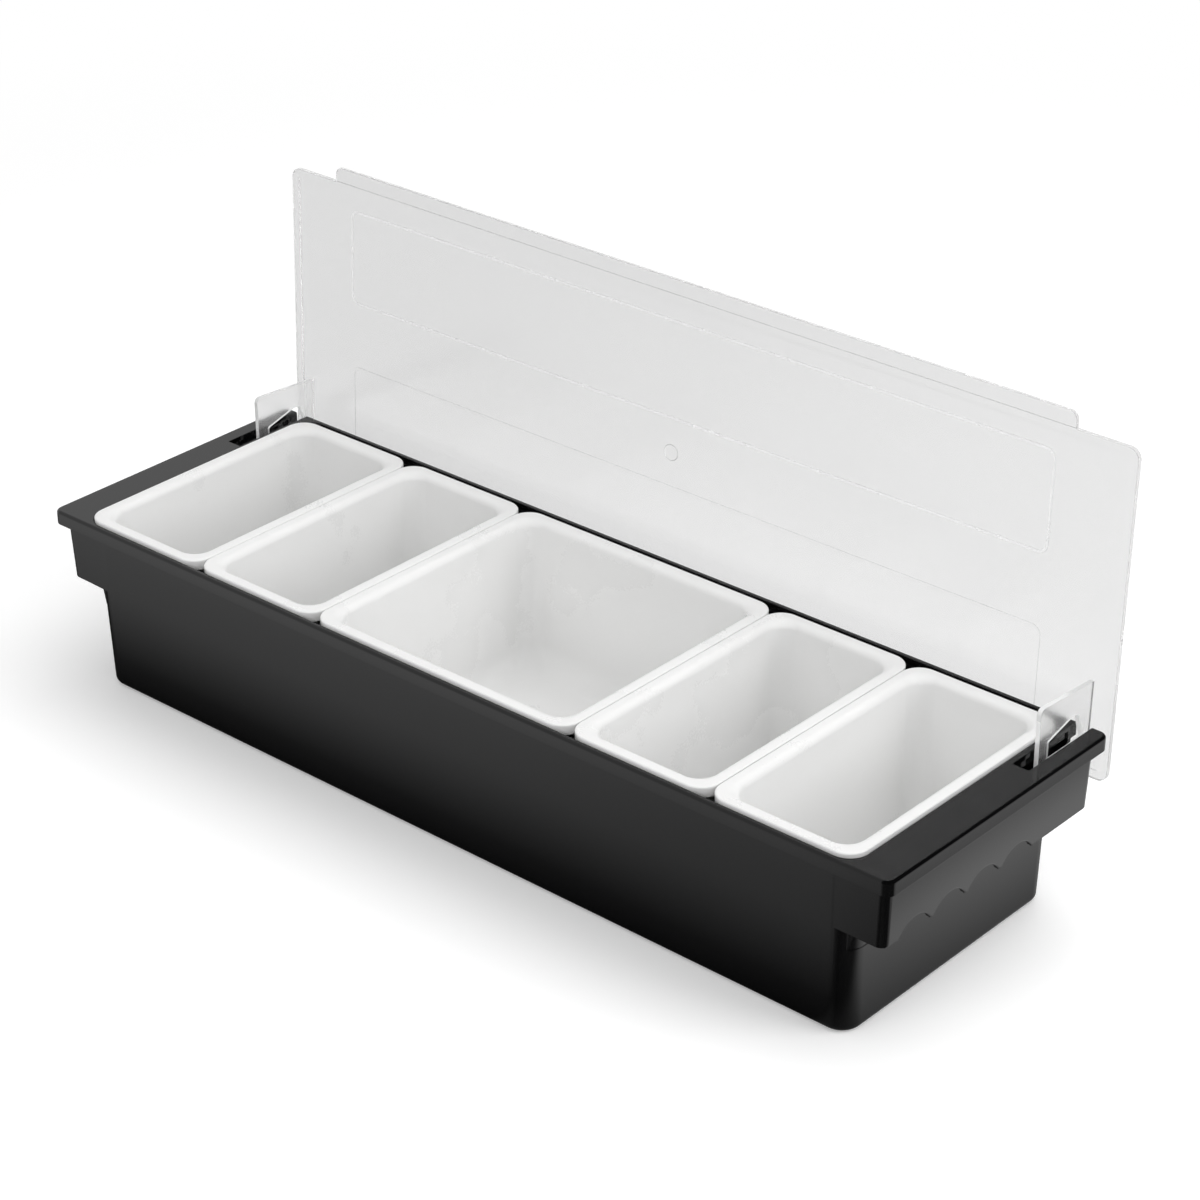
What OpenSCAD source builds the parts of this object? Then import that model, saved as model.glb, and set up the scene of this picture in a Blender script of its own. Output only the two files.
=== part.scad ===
// Bar-top condiment caddy: a black moulded tray with a hollow grip handle at each
// end, five white lift-out pans standing over an ice space, and one clear lid
// whose two ears snap over cross bars inside the handles.
// Millimetres, +X along the row of pans, +Y towards the hinge, +Z up.
// The origin is the centre of the tray's underside.
// The lid is drawn open, leaning back on its stop.

/* [Tray] */
// Length over the rim
tray_length = 495; // [470:1:530]
// Width over the rim, front to back
tray_width = 152; // [146:1:175]
// Height of the rim above the table
tray_height = 87; // [82:1:120]
// Wall and floor thickness
tray_wall = 2.5; // [2:0.1:3]
// Radius of the upright corners of the body
body_corner = 10; // [8:0.5:16]
// Radius between the underside and the walls
body_fillet = 3.5; // [3:0.5:6]
// How far each wall leans in from the rim to the underside
body_draft = 2.1; // [1:0.1:3]

/* [Rim] */
// How far the rim stands out past the walls and the handles
rim_overhang = 3.6; // [3.3:0.1:5]
// Height of the rim's outer band
rim_band = 7; // [6:0.5:9]
// Thickness of the lip that surrounds the pans
rim_lip = 2.8; // [2.2:0.1:3.2]
// Depth of the ledge that carries the pans, below the rim
ledge_depth = 3.7; // [3:0.1:4.2]
// Corner radius of the rim, in plan
rim_corner = 4.5; // [3.5:0.5:6]
// Rounding along the rim's upper edge
rim_round = 1.5; // [1.2:0.1:2]

/* [Handles] */
// How far each hollow handle stands out past the end wall
handle_reach = 17.2; // [16.5:0.1:20]
// Height of the handle, from the rim down
handle_height = 35.4; // [33:0.2:45]
// Corner radius of the handle's skirt
handle_corner = 4; // [3.5:0.5:6]
// How far the skirt leans in from the rim to its lower edge
handle_draft = 1.7; // [1:0.1:2]
// Number of finger scallops under each handle
scallop_count = 4; // [1:1:5]
// Distance from one scallop to the next
scallop_pitch = 23.4; // [22.5:0.1:26]
// Width of a scallop along the skirt's lower edge
scallop_width = 21; // [18:0.5:22]
// Height of a scallop
scallop_rise = 6; // [4:0.1:8]
// Distance of the first scallop's centre from the tray's front wall
scallop_start = 21; // [15:0.5:24]

/* [Pans] */
// Width of the large pan, in small pans
large_pan_units = 2; // [1:0.1:3]
// Height of the pans' flanges above the tray's rim
pan_proud = 1.9; // [1.5:0.1:2.5]
// Wall and floor thickness
pan_wall = 2.1; // [1.8:0.1:2.4]
// Width of the flange's flat top
flange_land = 3.4; // [3:0.1:4]
// Outer corner radius of the flange
flange_corner = 9.5; // [8:0.5:11]
// Radius between the flange's top and the inside of the walls
mouth_round = 3.6; // [3:0.1:4]
// Lean of the pan walls, inwards over their height
pan_taper = 3.8; // [2:0.1:5]
// Fillet radius between a pan's floor and its walls
pan_fillet = 12; // [8:0.5:14]
// Corner radius of a pan's floor, in plan
pan_floor_corner = 6; // [4:0.5:7]
// Height of the ice space under the pans
ice_gap = 11.5; // [8:0.5:16]
// Gap between the pans and the rim at the back, for a fingertip under the flange
back_gap = 4.2; // [3.5:0.1:5]

/* [Lid] */
// Distance of the panel's ends from the rim's ends
lid_margin = 3; // [2:0.5:6]
// Thickness of the panel
lid_sheet = 2; // [1.8:0.1:2.4]
// Corner radius of the panel
lid_corner = 5; // [4:0.5:8]
// How far the panel's hinge edge lies beyond the axis
lid_tail = 16.4; // [14:0.1:18]
// How far the closed panel stops short of the rim's front edge
lid_front = 5.4; // [3:0.1:6]
// How far the grip tab reaches past the panel's front edge
tab_reach = 7.5; // [6:0.5:10]
// Distance of the tab's ends from the panel's ends
tab_setback = 30.5; // [24:0.5:60]
// Width of the stiffening bead around the panel
bead_width = 4.5; // [3.5:0.5:6]
// Height of the bead
bead_height = 0.7; // [0.4:0.1:1]
// Distance of the two embossed frames from the panel's ends
frame_setback = 39.5; // [30:0.5:80]
// Distance of the embossed frames from the panel's long edges
frame_margin = 12; // [10:0.5:20]
// Width of each embossed frame, across the panel
frame_width = 48.5; // [30:0.5:50]
// Diameter of the moulding gate's mark
gate_diameter = 8; // [6:0.5:12]
// Lean of the open lid, backwards from upright
open_lean = 2.3; // [1:0.1:4]

/* [Hinge] */
// Height of the hinge axis below the rim
axis_drop = 11; // [10.6:0.1:12]
// Distance of the hinge axis in front of the rim's back edge
axis_inset = 9.1; // [8.7:0.1:9.6]
// Diameter of the cross bars
bar_diameter = 4; // [3.5:0.1:4.4]
// Radial running clearance of the hooks on the bars
hook_clearance = 0.06; // [0.03:0.01:0.1]
// Wall of the hook around the bar
hook_wall = 2.9; // [2.2:0.1:2.9]
// Share of the bar's diameter that the hook's snap mouth is wide
hook_mouth = 0.85; // [0.75:0.01:0.9]
// Thickness of an ear
ear_sheet = 2.2; // [1.8:0.1:2.6]
// Extra thickness of the ear around the bar
hook_boss = 1.8; // [1:0.1:2.4]
// Distance from the axis to the ear's front edge
ear_front = 23.6; // [21:0.1:23.8]
// Distance from the axis to the ear's top corner
ear_top = 31.2; // [29:0.1:31.4]
// Width of the ear's front leg
ear_leg = 7; // [6:0.5:9]
// Width of the slots that the ears dip into
slot_width = 8; // [7:0.1:9]

/* [Hidden] */
$fn = 48;
black = [0.07, 0.07, 0.075];
white = [0.93, 0.93, 0.93];
clear = [0.86, 0.88, 0.9, 0.4];

// Steps in a quarter turn of a lofted corner, and degrees per step of a lofted fillet
corner_steps = 6;
fillet_step = 30;
// How far a cut runs past what it cuts, and how far merging pieces overlap
past = 10;
merge = 0.5;
// Clearance of a piece from what it rests on
seat_gap = 0.3;
// Gaps beside the pans: between neighbours and at each end of the row
pan_gap = 0.5;
end_gap = 0.35;
// Clearance of the ears as they swing through the slots
swing_gap = 0.6;
// Small breaks along sharp moulded edges
edge_break = 0.4;
// How far the handles' front and back faces lie behind the body's
handle_step = 0.15;
// Width of the raised line around each embossed frame
frame_line = 1.2;

// Tray: half sizes of its parts and heights of its levels
rim_x = tray_length / 2;
rim_y = tray_width / 2;
handle_x = rim_x - rim_overhang;
body_x = handle_x - handle_reach;
body_y = rim_y - rim_overhang;
opening_y = rim_y - rim_lip;
opening_x = body_x + opening_y - body_y;
band_z = tray_height - rim_band;
ledge_z = tray_height - ledge_depth;
handle_z = tray_height - handle_height;
scallop_radius = (pow(scallop_width / 2, 2) + pow(scallop_rise, 2)) / (2 * scallop_rise);

// Pans: they share the opening's length in equal units
row_length = 2 * (opening_x - end_gap);
pan_unit = (row_length + pan_gap) / (4 + large_pan_units);
small_pan_length = pan_unit - pan_gap;
large_pan_length = large_pan_units * pan_unit - pan_gap;
pan_width = 2 * opening_y - seat_gap - back_gap;
pan_y = (seat_gap - back_gap) / 2;
inner_pan_x = (large_pan_units + 1) / 2 * pan_unit;
outer_pan_x = inner_pan_x + pan_unit;
flange_z = tray_height + pan_proud;
pan_z = tray_wall + ice_gap;

// Hinge: the panel's distance from the axis clears the flanges' back edge and the
// rim's upper edge as it closes, and the swinging ears set their slots' front ends
axis_y = rim_y - axis_inset;
axis_z = tray_height - axis_drop;
flange_back = pan_y + pan_width / 2 - 2 * edge_break;
flange_reach = norm([flange_back - axis_y, flange_z - axis_z]);
rim_reach = norm([axis_inset - rim_round, axis_drop - rim_round]) + rim_round;
panel_offset = max(flange_reach, rim_reach) + seat_gap;
hook_bore = bar_diameter / 2 + hook_clearance;
hook_radius = hook_bore + hook_wall;
ear_round = 3;
// Land left between a slot and the inside of the skirt, and the ear's place in it
slot_land = 2.5;
ear_inset = 1;
// Ear: height of its foot above the axis and how far its top edge drops towards
// the panel, then its window's three upper corners and its back lower corner
foot_z = 1;
ear_fall = 2.7;
window_front_z = ear_top - 18.2;
window_peak = [1, ear_top - 13.5];
window_back = [4.6, ear_top - 14.2];
window_foot_y = 9.1;
ear_sweep = norm([ear_front - ear_round, ear_top - ear_round]) + ear_round;
slot_y = axis_y - sqrt(pow(ear_sweep, 2) - pow(axis_drop - tray_wall, 2)) - swing_gap;
slot_x = handle_x - tray_wall - slot_land - slot_width;
stop_z = axis_z - hook_radius - seat_gap;
ear_x = slot_x + ear_inset;

// Lid: the closed panel ends over the pans' front flanges
lid_length = tray_length - 2 * lid_margin;
lid_width = lid_tail + axis_y + rim_y - lid_front;

// ---------------------------------------------------------------- lofts

// Inward lean of the body's walls at height z
function lean(z) = body_draft * (1 - z / tray_height);

// Inward lean of the handle's skirt at height z
function skirt_lean(z) = handle_draft * (tray_height - z) / handle_height;

// One ring of a rounded rectangle: half sizes, corner radius and height
function ring(half_x, half_y, r, z) = [
    for (quarter = [0:3], i = [0:corner_steps])
        let (a = 90 * (quarter + i / corner_steps))
        let (sx = (quarter == 0 || quarter == 3) ? 1 : -1)
        let (sy = (quarter < 2) ? 1 : -1)
        [sx * (half_x - r) + r * cos(a), sy * (half_y - r) + r * sin(a), z]
];

// The same ring drawn in by inset on every side, with its corner radius given
function inset_ring(size, inset, r, z) = ring(size.x - inset, size.y - inset, r, z);

// Closed skin through rings that all have the same number of points
module loft(rings) {
    n = len(rings[0]);
    last = len(rings) - 1;
    sides = [
        for (k = [0:last - 1], i = [0:n - 1])
            let (low = k * n, high = low + n, j = (i + 1) % n)
            each [[low + i, high + i, high + j], [low + i, high + j, low + j]]
    ];
    first_cap = [for (i = [0:n - 1]) i];
    last_cap = [for (i = [n - 1:-1:0]) last * n + i];
    polyhedron(points = [for (r = rings, p = r) p], faces = concat([first_cap], sides, [last_cap]),
               convexity = 6);
}

// ---------------------------------------------------------------- tray

// Tapered block of the body: grow moves its walls outwards
module body_block(grow, low_z, high_z) {
    size = [body_x + grow, body_y + grow];
    r = body_corner + grow;
    foot = [
        for (a = [0:fillet_step:90])
            let (inset = body_fillet * (1 - sin(a)))
            inset_ring(size, inset + lean(low_z), r - inset, low_z + body_fillet * (1 - cos(a)))
    ];
    loft(concat(foot, [inset_ring(size, lean(high_z), r, high_z)]));
}

// Both handles as one block, a hair behind the body's front and back faces
module handle_block(grow, low_z, high_z) {
    half_y = body_y + grow - handle_step;
    loft([
        for (z = [low_z, high_z])
            ring(handle_x + grow - skirt_lean(z), half_y - lean(z), handle_corner + grow, z)
    ]);
}

// Rim as a full slab, rounded along its upper edge
module rim_slab() {
    size = [rim_x, rim_y];
    shoulder = [
        for (a = [0:fillet_step:90])
            let (inset = rim_round * (1 - cos(a)))
            inset_ring(size, inset, rim_corner - inset, tray_height - rim_round * (1 - sin(a)))
    ];
    loft(concat(
        [inset_ring(size, edge_break, rim_corner - edge_break, band_z),
         ring(rim_x, rim_y, rim_corner, band_z + edge_break)],
        shoulder
    ));
}

// Well for the pans: the tapered inside, then the opening above the ledge
module well() {
    size = [opening_x, opening_y];
    r = flange_corner + seat_gap;
    body_block(-tray_wall, tray_wall, ledge_z + merge);
    loft([
        inset_ring(size, 0, r, ledge_z),
        inset_ring(size, 0, r, tray_height - edge_break),
        inset_ring(size, -edge_break, r + edge_break, tray_height),
        inset_ring(size, -edge_break, r + edge_break, tray_height + past)
    ]);
}

// Finger space inside the handles, around the body and the ledge's web
module finger_space() {
    web_x = opening_x + tray_wall;
    difference() {
        handle_block(-tray_wall, handle_z - past, tray_height - tray_wall);
        body_block(0, 0, tray_height);
        translate([-web_x, -tray_width, ledge_z - tray_wall])
            cube([2 * web_x, 2 * tray_width, tray_height]);
    }
}

// Finger scallops along the lower edge of the right-hand skirt
module scallops() {
    start_y = -body_y + lean(handle_z) + scallop_start;
    for (i = [0:scallop_count - 1])
        translate([handle_x - 2 * tray_wall, start_y + i * scallop_pitch, handle_z + scallop_rise - scallop_radius])
            rotate([0, 90, 0])
                cylinder(r = scallop_radius, h = past, $fn = 96);
}

// Slot for the right-hand ear, through the rim and out of the handle's back wall
module ear_slot() {
    translate([slot_x, slot_y, stop_z])
        cube([slot_width, tray_width, tray_height]);
}

// Right-hand cross bar, from the end wall to the handle's skirt
module hinge_bar() {
    start_x = body_x - lean(axis_z) - tray_wall + merge;
    end_x = handle_x - skirt_lean(axis_z) - merge;
    translate([start_x, axis_y, axis_z])
        rotate([0, 90, 0])
            cylinder(d = bar_diameter, h = end_x - start_x);
}

module tray() {
    color(black) {
        difference() {
            union() {
                body_block(0, 0, band_z + merge);
                handle_block(0, handle_z, band_z + merge);
                rim_slab();
            }
            well();
            finger_space();
            for (side = [0, 1])
                mirror([side, 0, 0]) {
                    scallops();
                    ear_slot();
                }
        }
        for (side = [0, 1])
            mirror([side, 0, 0])
                hinge_bar();
    }
}

// ---------------------------------------------------------------- pans

// One pan. Its skin runs from the underside up the wall, round the turned-down
// flange, over the flange's top and down the inside to the floor.
module pan(length) {
    size = [length / 2, pan_width / 2];
    wall_in = flange_land + mouth_round;
    wall_out = wall_in - pan_wall;
    under_z = flange_z - pan_wall;
    leg_z = ledge_z + seat_gap;
    corner_in = flange_corner + edge_break;
    corner_out = corner_in + pan_wall;
    outer_fillet = pan_fillet + pan_wall;
    underside = [
        for (a = [0:fillet_step:90])
            let (turn = 1 - sin(a))
            inset_ring(size, wall_out + pan_taper + outer_fillet * turn,
                       corner_out - (corner_out - pan_floor_corner) * turn, pan_z + outer_fillet * (1 - cos(a)))
    ];
    flange = [
        inset_ring(size, wall_out, corner_out, under_z),
        inset_ring(size, pan_wall, flange_corner - pan_wall, under_z),
        inset_ring(size, pan_wall, flange_corner - pan_wall, leg_z),
        inset_ring(size, edge_break / 2, flange_corner - edge_break / 2, leg_z),
        inset_ring(size, 0, flange_corner, flange_z - 1),
        inset_ring(size, edge_break / 2, flange_corner, flange_z - edge_break),
        inset_ring(size, 2 * edge_break, flange_corner - edge_break, flange_z)
    ];
    mouth = [
        for (a = [0:fillet_step:90])
            inset_ring(size, flange_land + mouth_round * sin(a), corner_in - (1 - sin(a)),
                       flange_z - mouth_round * (1 - cos(a)))
    ];
    inside = [
        for (a = [90:-fillet_step:0])
            let (turn = 1 - sin(a))
            inset_ring(size, wall_in + pan_taper + pan_fillet * turn,
                       corner_in - (corner_in - pan_floor_corner) * turn,
                       pan_z + pan_wall + pan_fillet * (1 - cos(a)))
    ];
    color(white)
        translate([0, pan_y, 0])
            loft(concat(underside, flange, mouth, inside));
}

module small_pan(x) {
    translate([x, 0, 0])
        pan(small_pan_length);
}

module large_pan() {
    pan(large_pan_length);
}

// ---------------------------------------------------------------- lid

// Rounded plate centred on X, from low to high in Y
module plate(half_x, low, high, r, thickness) {
    linear_extrude(thickness) {
        translate([r - half_x, low])
            square([2 * (half_x - r), high - low]);
        translate([-half_x, low + r])
            square([2 * half_x, high - low - 2 * r]);
        for (x = [r - half_x, half_x - r], y = [low + r, high - r])
            translate([x, y])
                circle(r);
    }
}

// Raised outline of the given line width, inside the same bounds as a plate
module outline(half_x, low, high, r, line, height) {
    difference() {
        plate(half_x, low, high, r, height);
        translate([0, 0, -merge])
            plate(half_x - line, low + line, high - line, r - line / 2, height + 2 * merge);
    }
}

// Places a piece in the open lid: X stays, Y runs up the panel from its hinge
// edge and Z runs backwards from its inner face
module on_panel() {
    translate([0, axis_y, axis_z])
        rotate([90 - open_lean, 0, 0])
            translate([0, -lid_tail, -panel_offset])
                mirror([0, 0, 1])
                    children();
}

// Clear panel with its grip tab, edge bead, embossed frames and gate mark
module panel() {
    half_x = lid_length / 2;
    emboss = bead_height / 2;
    gate_r = gate_diameter / 2;
    plate(half_x, 0, lid_width, lid_corner, lid_sheet);
    plate(half_x - tab_setback, lid_width - 2 * lid_corner, lid_width + tab_reach, lid_corner - 1, lid_sheet);
    translate([0, 0, lid_sheet / 2]) {
        outline(half_x, 0, lid_width, lid_corner, bead_width, lid_sheet / 2 + bead_height);
        for (low = [frame_margin, lid_width - frame_margin - frame_width])
            outline(half_x - frame_setback, low, low + frame_width, lid_corner, frame_line, lid_sheet / 2 + emboss);
        translate([0, lid_width / 2, 0]) {
            cylinder(r = gate_r, h = lid_sheet / 2 + emboss);
            cylinder(r1 = gate_r, r2 = gate_r / 2, h = lid_sheet / 2 + 2 * emboss);
        }
    }
}

// Distance of the panel's middle layer behind the axis, at height z above it
function panel_y(z) = (panel_offset + lid_sheet / 2 + z * sin(open_lean)) / cos(open_lean);

// Ear in the Y-Z plane, measured from the hinge axis
module ear_outline() {
    window_y = ear_leg - ear_front;
    difference() {
        union() {
            polygon([
                [-ear_front, foot_z], [-ear_front, ear_top - ear_round], [ear_round - ear_front, ear_top],
                [panel_y(ear_top), ear_top - ear_fall], [panel_y(-hook_radius), -hook_radius],
                [0, -hook_radius], [0, foot_z]
            ]);
            translate([ear_round - ear_front, ear_top - ear_round])
                circle(ear_round);
            circle(hook_radius);
        }
        polygon([
            [window_y, ear_leg], [window_y, window_front_z], window_peak, window_back,
            [window_foot_y, ear_leg]
        ]);
    }
}

// Right-hand ear with the snap hook that runs on the cross bar
module ear() {
    mouth = hook_mouth * bar_diameter;
    translate([ear_x, axis_y, axis_z])
        rotate([90, 0, 90])
            difference() {
                union() {
                    linear_extrude(ear_sheet)
                        ear_outline();
                    cylinder(r = hook_radius, h = ear_sheet + hook_boss);
                }
                translate([0, 0, -past])
                    cylinder(r = hook_bore, h = 3 * past);
                translate([-mouth / 2, -2 * hook_radius, -past])
                    cube([mouth, 2 * hook_radius, 3 * past]);
            }
}

module lid() {
    color(clear) {
        on_panel()
            panel();
        for (side = [0, 1])
            mirror([side, 0, 0])
                ear();
    }
}

tray();
lid();
small_pan(-outer_pan_x);  // small_pan_far_left
small_pan(-inner_pan_x);  // small_pan_left
large_pan();
small_pan(inner_pan_x);  // small_pan_right
small_pan(outer_pan_x);  // small_pan_far_right
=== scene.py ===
import bmesh
import bpy
import math
from mathutils import Matrix, Vector


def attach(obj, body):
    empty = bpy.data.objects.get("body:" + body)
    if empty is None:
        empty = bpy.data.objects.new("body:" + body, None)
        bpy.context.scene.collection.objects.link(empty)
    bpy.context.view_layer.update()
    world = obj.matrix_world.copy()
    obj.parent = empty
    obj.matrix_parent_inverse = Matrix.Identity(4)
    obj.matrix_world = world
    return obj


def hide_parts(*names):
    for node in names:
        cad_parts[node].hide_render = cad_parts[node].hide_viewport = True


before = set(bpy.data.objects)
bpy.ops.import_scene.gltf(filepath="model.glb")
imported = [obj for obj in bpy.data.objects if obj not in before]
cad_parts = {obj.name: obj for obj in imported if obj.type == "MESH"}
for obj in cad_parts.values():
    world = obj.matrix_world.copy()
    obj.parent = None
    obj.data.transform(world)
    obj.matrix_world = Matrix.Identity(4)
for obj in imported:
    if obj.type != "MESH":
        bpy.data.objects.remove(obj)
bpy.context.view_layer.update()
mm = 0.001
print("frame loaded:", len(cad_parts), "nodes")

# what every piece is measured from, in millimetres, as the moulds are drawn
caddy = {
    "rimX": 247.5, "rimY": 76.0, "rimZ": 87.0,          # half length, half width and height of the rim
    "bodyX": 226.7, "bodyY": 72.4, "handleX": 243.9,    # half sizes of the body and the handles under it
    "openingX": 227.5, "openingY": 73.2,                # half sizes of the opening that holds the pans
    "bandZ": 80.0, "ledgeZ": 83.3, "handleZ": 51.6,
    "wall": 2.5, "bodyDraft": 2.1, "handleDraft": 1.7,
    "axisY": 66.9, "axisZ": 76.0,                       # the lid's hinge axis
}


# selecting and shaping helpers

def deselectAll():
    if bpy.context.mode != "OBJECT":
        bpy.ops.object.mode_set(mode="OBJECT")
    bpy.ops.object.select_all(action="DESELECT")


def makeActive(piece):
    deselectAll()
    piece.select_set(True)
    bpy.context.view_layer.objects.active = piece


def startPiece(name):
    # an empty mesh in edit mode, ready for loops
    deselectAll()
    bpy.ops.mesh.primitive_plane_add(size=mm)
    piece = bpy.context.object
    piece.name = name
    piece.data.name = name
    bpy.ops.object.mode_set(mode="EDIT")
    bpy.ops.mesh.select_all(action="SELECT")
    bpy.ops.mesh.delete(type="VERT")
    bmesh.from_edit_mesh(piece.data).verts.layers.int.new("ring")
    return piece


def addLoop(piece, number, halfX, halfY, radius, z, segments, centre):
    # one rounded rectangle of edges, in millimetres
    at = (centre[0] * mm, centre[1] * mm, z * mm)
    bpy.ops.mesh.select_all(action="DESELECT")
    bpy.ops.mesh.primitive_plane_add(size=2, location=at)
    bpy.ops.transform.resize(value=(halfX * mm, halfY * mm, 1), center_override=at)
    bpy.ops.mesh.bevel(offset=radius * mm, segments=segments, profile=0.5, affect="VERTICES", clamp_overlap=False)
    mesh = bmesh.from_edit_mesh(piece.data)
    ring = mesh.verts.layers.int["ring"]
    for vertex in mesh.verts:
        if vertex.select:
            vertex[ring] = number
    bmesh.update_edit_mesh(piece.data)
    bpy.ops.mesh.delete(type="ONLY_FACE")


def selectRings(piece, numbers):
    mesh = bmesh.from_edit_mesh(piece.data)
    ring = mesh.verts.layers.int["ring"]
    bpy.ops.mesh.select_mode(type="EDGE")
    for edge in mesh.edges:
        a, b = (v[ring] for v in edge.verts)
        edge.select_set(a == b and a in numbers)
    mesh.select_flush_mode()
    bmesh.update_edit_mesh(piece.data)


def loftPiece(name, rings, segments=8, centre=(0, 0), closed=False):
    # a closed skin bridged through rounded loops: each ring is (halfX, halfY, radius, z)
    piece = startPiece(name)
    for number, (halfX, halfY, radius, z) in enumerate(rings):
        addLoop(piece, number, halfX, halfY, radius, z, segments, centre)
    last = len(rings) - 1
    pairs = [(k, k + 1) for k in range(last)] + ([(last, 0)] if closed else [])
    for pair in pairs:
        selectRings(piece, pair)
        bpy.ops.mesh.bridge_edge_loops()
    if not closed:
        for end in (0, last):
            selectRings(piece, (end,))
            bpy.ops.mesh.edge_face_add()
    bpy.ops.mesh.select_mode(type="VERT")
    bpy.ops.mesh.select_all(action="SELECT")
    bpy.ops.mesh.normals_make_consistent(inside=False)
    bpy.ops.object.mode_set(mode="OBJECT")
    return piece


def tracePlate(name, points, thickness, rounded=None):
    # an outline drawn vertex by vertex in the Y-Z plane, filled and pulled out along +X
    deselectAll()
    bpy.ops.mesh.primitive_plane_add(size=mm)
    piece = bpy.context.object
    piece.name = name
    bpy.ops.object.mode_set(mode="EDIT")
    bpy.ops.mesh.select_all(action="SELECT")
    bpy.ops.mesh.merge(type="CENTER")
    bpy.ops.transform.translate(value=(0, points[0][0] * mm, points[0][1] * mm))
    for a, b in zip(points, points[1:]):
        step = (0, (b[0] - a[0]) * mm, (b[1] - a[1]) * mm)
        bpy.ops.mesh.extrude_vertices_move(TRANSFORM_OT_translate={"value": step})
    bpy.ops.mesh.select_all(action="SELECT")
    bpy.ops.mesh.edge_face_add()
    for (y, z), radius, segments in rounded or []:
        mesh = bmesh.from_edit_mesh(piece.data)
        for vertex in mesh.verts:
            vertex.select_set((vertex.co - Vector((0, y * mm, z * mm))).length < 0.05 * mm)
        mesh.select_flush_mode()
        bpy.ops.mesh.bevel(offset=radius * mm, segments=segments, affect="VERTICES", clamp_overlap=False)
    bpy.ops.mesh.select_all(action="SELECT")
    bpy.ops.mesh.extrude_region_move(TRANSFORM_OT_translate={"value": (thickness * mm, 0, 0)})
    bpy.ops.mesh.select_all(action="SELECT")
    bpy.ops.mesh.normals_make_consistent(inside=False)
    bpy.ops.object.mode_set(mode="OBJECT")
    return piece


def addBar(name, radius, start, end, y, z, segments=64):
    # a round bar along X
    deselectAll()
    bpy.ops.mesh.primitive_cylinder_add(
        vertices=segments, radius=radius * mm, depth=abs(end - start) * mm,
        location=((start + end) / 2 * mm, y * mm, z * mm), rotation=(0, math.pi / 2, 0))
    bpy.ops.object.transform_apply(location=True, rotation=True, scale=True)
    bar = bpy.context.object
    bar.name = name
    return bar


def addBlock(name, low, high):
    deselectAll()
    middle = [(a + b) / 2 * mm for a, b in zip(low, high)]
    bpy.ops.mesh.primitive_cube_add(size=1, location=middle, scale=[(b - a) * mm for a, b in zip(low, high)])
    bpy.ops.object.transform_apply(location=True, rotation=True, scale=True)
    block = bpy.context.object
    block.name = name
    return block


def movePiece(piece, shift=(0, 0, 0), lean=0):
    # moved in millimetres or leant about X in degrees, then left unturned at the origin
    makeActive(piece)
    piece.location = [v * mm for v in shift]
    piece.rotation_euler = (math.radians(lean), 0, 0)
    bpy.ops.object.transform_apply(location=True, rotation=True, scale=True)


def useTool(piece, tool, operation):
    # boolean that uses up its tool
    makeActive(piece)
    bpy.ops.object.modifier_add(type="BOOLEAN")
    cut = piece.modifiers[-1]
    cut.operation = operation
    cut.solver = "EXACT"
    cut.object = tool
    bpy.ops.object.modifier_apply(modifier=cut.name)
    bpy.data.objects.remove(tool)


def copyPiece(piece, name, shift=(0, 0, 0), mirrored=False):
    copy = piece.copy()
    copy.data = piece.data.copy()
    copy.name = name
    copy.data.name = name
    bpy.context.scene.collection.objects.link(copy)
    if mirrored:
        copy.scale = (-1, 1, 1)
    movePiece(copy, shift)
    if mirrored:
        bpy.ops.object.mode_set(mode="EDIT")
        bpy.ops.mesh.select_all(action="SELECT")
        bpy.ops.mesh.normals_make_consistent(inside=False)
        bpy.ops.object.mode_set(mode="OBJECT")
    return copy


def cleanMesh(piece, distance=0.002):
    makeActive(piece)
    bpy.ops.object.mode_set(mode="EDIT")
    bpy.ops.mesh.select_all(action="SELECT")
    bpy.ops.mesh.remove_doubles(threshold=distance * mm)
    bpy.ops.mesh.dissolve_degenerate(threshold=distance * mm)
    bpy.ops.mesh.normals_make_consistent(inside=False)
    bpy.ops.object.mode_set(mode="OBJECT")


def breakEdges(piece, width, segments=2, angle=40):
    # small moulded radius on every edge sharper than the angle
    makeActive(piece)
    bpy.ops.object.modifier_add(type="BEVEL")
    bevel = piece.modifiers[-1]
    bevel.limit_method = "ANGLE"
    bevel.angle_limit = math.radians(angle)
    bevel.width = width * mm
    bevel.segments = segments
    bevel.use_clamp_overlap = False
    bevel.miter_outer = "MITER_ARC"
    bpy.ops.object.modifier_apply(modifier=bevel.name)


def roundEdges(piece, width, chosen, segments=3):
    # a larger radius on the sharp edges whose two ends both pass the test, in millimetres
    makeActive(piece)
    bpy.ops.object.mode_set(mode="EDIT")
    bpy.ops.mesh.select_all(action="DESELECT")
    bpy.ops.mesh.select_mode(type="EDGE")
    mesh = bmesh.from_edit_mesh(piece.data)
    for edge in mesh.edges:
        sharp = len(edge.link_faces) == 2 and edge.calc_face_angle() > math.radians(40)
        edge.select_set(sharp and all(chosen(v.co / mm) for v in edge.verts))
    bmesh.update_edit_mesh(piece.data)
    bpy.ops.mesh.bevel(offset=width * mm, segments=segments, affect="EDGES", clamp_overlap=False)
    bpy.ops.mesh.select_mode(type="VERT")
    bpy.ops.object.mode_set(mode="OBJECT")


def smoothPiece(piece, angle=35):
    makeActive(piece)
    bpy.ops.object.shade_smooth_by_angle(angle=math.radians(angle))
    bpy.ops.object.modifier_add(type="WEIGHTED_NORMAL")
    weighted = piece.modifiers[-1]
    weighted.keep_sharp = True
    weighted.weight = 60
    bpy.ops.object.modifier_apply(modifier=weighted.name)


def fillet(start, end, steps=8):
    # angles in degrees from start to end
    return [start + (end - start) * k / steps for k in range(steps + 1)]


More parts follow.
